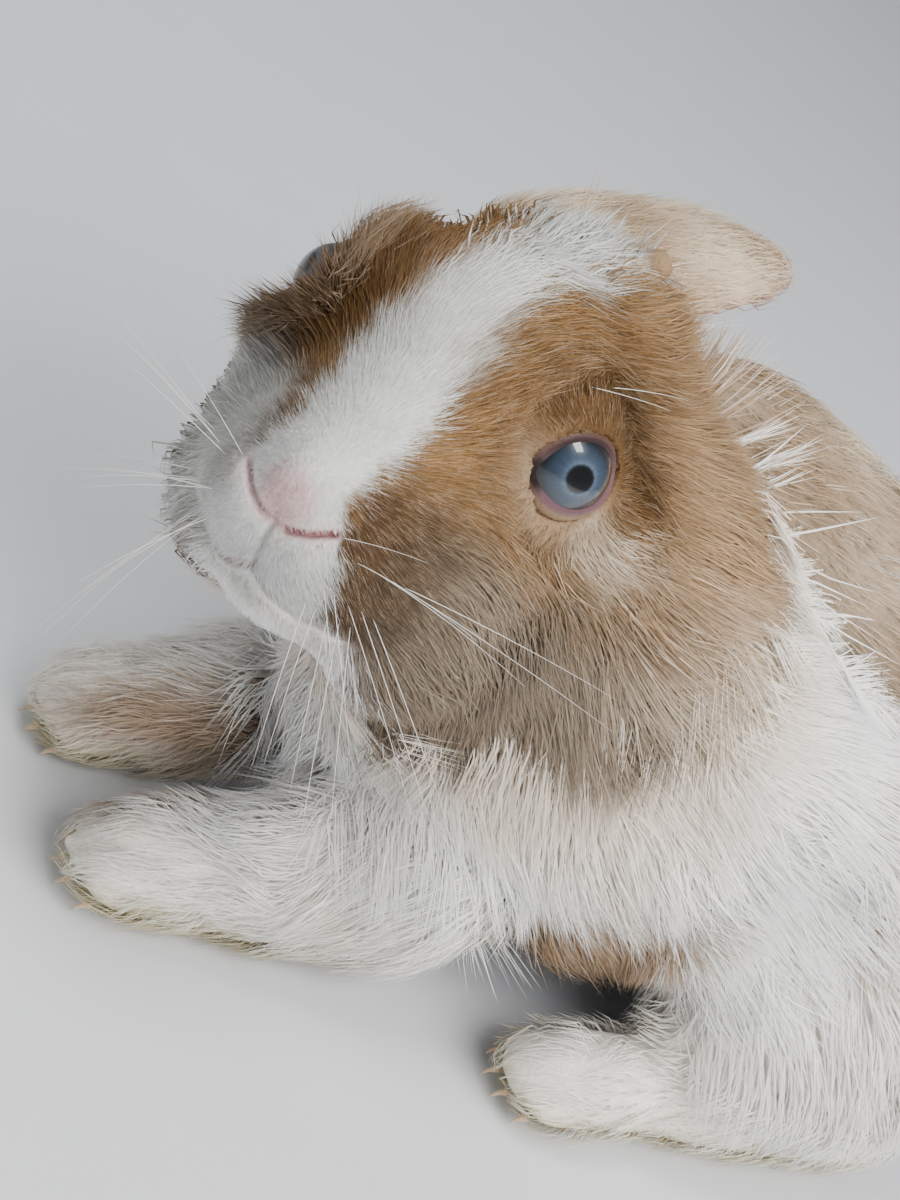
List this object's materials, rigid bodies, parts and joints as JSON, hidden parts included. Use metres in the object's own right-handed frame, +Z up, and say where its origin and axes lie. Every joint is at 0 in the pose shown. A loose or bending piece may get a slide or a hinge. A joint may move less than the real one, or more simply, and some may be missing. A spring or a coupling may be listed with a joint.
{
  "type": "holland lop rabbit",
  "caption": "Life-size still model of a fawn and white holland lop rabbit, crouched with its head turned to its left and its ears laid back.",
  "frame": {"origin": "centre of the whole model's box on the floor", "axes": "+Z up, -Y the way the body faces, +X the rabbit's left"},
  "size_m": [0.1408, 0.2568, 0.1461],
  "materials": {
    "fawn_coat": "soft dense fur, fawn with grey-brown and white",
    "white_coat": "soft long fur, cream white",
    "eye": "wet blue-grey eye"
  },
  "bodies": {
    "root": {"head": "fawn_coat", "neck": "white_coat", "torso": "white_coat", "tail": "white_coat", "foreleg_left": "white_coat", "foreleg_right": "white_coat", "hindleg_left": "white_coat", "hindleg_right": "white_coat", "ear_left": "fawn_coat", "ear_right": "fawn_coat", "eye_left": "eye", "eye_right": "eye"}
  },
  "joints": []
}
